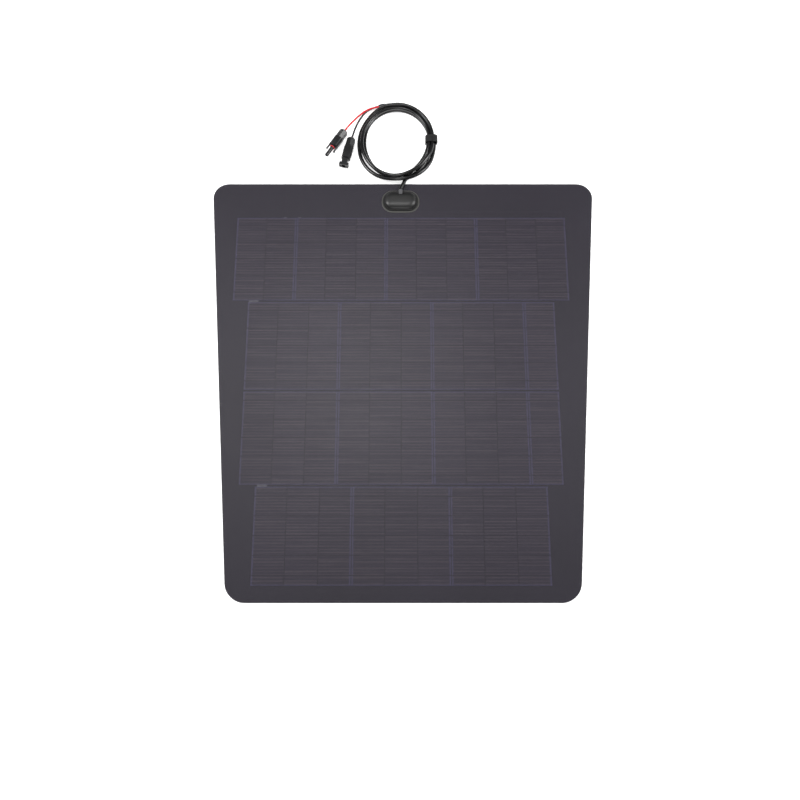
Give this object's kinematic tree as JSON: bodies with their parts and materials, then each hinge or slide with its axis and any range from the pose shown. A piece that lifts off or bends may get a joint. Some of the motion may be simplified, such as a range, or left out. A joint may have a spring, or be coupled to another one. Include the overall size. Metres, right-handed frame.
{
  "type": "flexible solar sheet",
  "caption": "Thin flexible solar sheet, tapered outline with rows of dark cells, low junction box, coiled cable and plug-in connectors.",
  "frame": {"origin": "middle of the sheet's underside", "axes": "+Z out of the cell face, +Y towards the junction-box end, +X to the right seen from the face"},
  "size_m": [0.6766, 0.9068, 0.0171],
  "materials": {
    "board": "black glass-fibre board, matt",
    "encapsulant": "clear hot-melt encapsulant",
    "film": "textured matt polymer film",
    "silicon": "dark crystalline silicon cells",
    "tinned_copper": "tin-plated copper ribbon",
    "plated_contact": "tin-plated copper alloy",
    "box_plastic": "black moulded plastic, fine texture",
    "sealant": "black silicone sealant",
    "black_rubber": "black rubber",
    "red_rubber": "red silicone rubber",
    "diode_resin": "black moulding resin",
    "cable_jacket": "black cable sheath, satin",
    "red_core": "red core insulation",
    "black_core": "black core insulation",
    "strap_fabric": "black hook-and-loop fabric",
    "connector_plastic": "black moulded plastic"
  },
  "bodies": {
    "panel_upper": {"black_core": "black_core", "board_upper": "board", "box_base": "box_plastic", "bus_ribbons_upper": "tinned_copper", "bypass_diode": "diode_resin", "cable_coil": "cable_jacket", "cable_grommet": "black_rubber", "cable_lead": "cable_jacket", "cable_tail": "cable_jacket", "cell_tabs_upper": "tinned_copper", "cells_row1_wafer1": "silicon", "cells_row1_wafer2": "silicon", "cells_row1_wafer3": "silicon", "cells_row1_wafer4": "silicon", "cells_row2_wafer1": "silicon", "cells_row2_wafer2": "silicon", "cells_row2_wafer3": "silicon", "cells_row2_wafer4": "silicon", "coil_strap": "strap_fabric", "cover_gasket": "black_rubber", "front_encapsulant_upper": "encapsulant", "front_film_upper": "film", "lead_negative": "tinned_copper", "lead_positive": "tinned_copper", "probe_cable_seal": "black_rubber", "probe_contact": "plated_contact", "probe_housing": "connector_plastic", "probe_o_ring": "red_rubber", "rear_encapsulant_upper": "encapsulant", "red_core": "red_core", "sealant_bead": "sealant", "shell_cable_seal": "black_rubber", "shell_contact": "plated_contact", "shell_housing": "connector_plastic", "split_sleeve": "cable_jacket", "terminal_negative": "plated_contact", "terminal_positive": "plated_contact"},
    "panel_lower": {"board_lower": "board", "bus_ribbons_lower": "tinned_copper", "cell_tabs_lower": "tinned_copper", "cells_row3_wafer1": "silicon", "cells_row3_wafer2": "silicon", "cells_row3_wafer3": "silicon", "cells_row3_wafer4": "silicon", "cells_row4_wafer1": "silicon", "cells_row4_wafer2": "silicon", "cells_row4_wafer3": "silicon", "front_encapsulant_lower": "encapsulant", "front_film_lower": "film", "rear_encapsulant_lower": "encapsulant"},
    "box_cover": {"box_cover": "box_plastic"},
    "probe_cage": {"probe_clamp_cage": "connector_plastic"},
    "probe_nut": {"probe_cap_nut": "connector_plastic"},
    "shell_cage": {"shell_clamp_cage": "connector_plastic"},
    "shell_nut": {"shell_cap_nut": "connector_plastic"},
    "finger_left": {"probe_finger_left": "connector_plastic"},
    "finger_right": {"probe_finger_right": "connector_plastic"}
  },
  "joints": [
    {"name": "sheet_flex", "type": "hinge", "parent": "panel_upper", "child": "panel_lower", "pos_m": [0, -0.0205, 0.0012], "axis": [1, 0, 0], "range_deg": [-30, 30], "stiffness_Nm_per_rad": 10},
    {"name": "cover_lift", "type": "slide", "parent": "panel_upper", "child": "box_cover", "axis": [0, 0, 1], "range_m": [0, 0.02]},
    {"name": "probe_cage_slide", "type": "slide", "parent": "panel_upper", "child": "probe_cage", "axis": [0.531, 0.8473, 0], "range_m": [0, 0.006]},
    {"name": "probe_nut_turn", "type": "hinge", "parent": "probe_cage", "child": "probe_nut", "pos_m": [-0.11075, 0.46832, 0.0086], "axis": [0.531, 0.8473, 0], "range_deg": [0, 1440]},
    {"name": "shell_cage_slide", "type": "slide", "parent": "panel_upper", "child": "shell_cage", "axis": [0.2351, 0.972, 0], "range_m": [0, 0.006]},
    {"name": "shell_nut_turn", "type": "hinge", "parent": "shell_cage", "child": "shell_nut", "pos_m": [-0.09478, 0.45172, 0.0086], "axis": [0.2351, 0.972, 0], "range_deg": [0, 1440]},
    {"name": "finger_left_flex", "type": "hinge", "parent": "panel_upper", "child": "finger_left", "pos_m": [-0.11954, 0.44055, 0.0086], "axis": [0, 0, -1], "range_deg": [0, 7], "stiffness_Nm_per_rad": 0.05},
    {"name": "finger_right_flex", "type": "hinge", "parent": "panel_upper", "child": "finger_right", "pos_m": [-0.13191, 0.4483, 0.0086], "axis": [0, 0, 1], "range_deg": [0, 7], "stiffness_Nm_per_rad": 0.05}
  ],
  "couplings": [
    {"joint": "probe_cage_slide", "follows": "probe_nut_turn", "m_per_rad": 0.00023873},
    {"joint": "shell_cage_slide", "follows": "shell_nut_turn", "m_per_rad": 0.00023873}
  ]
}
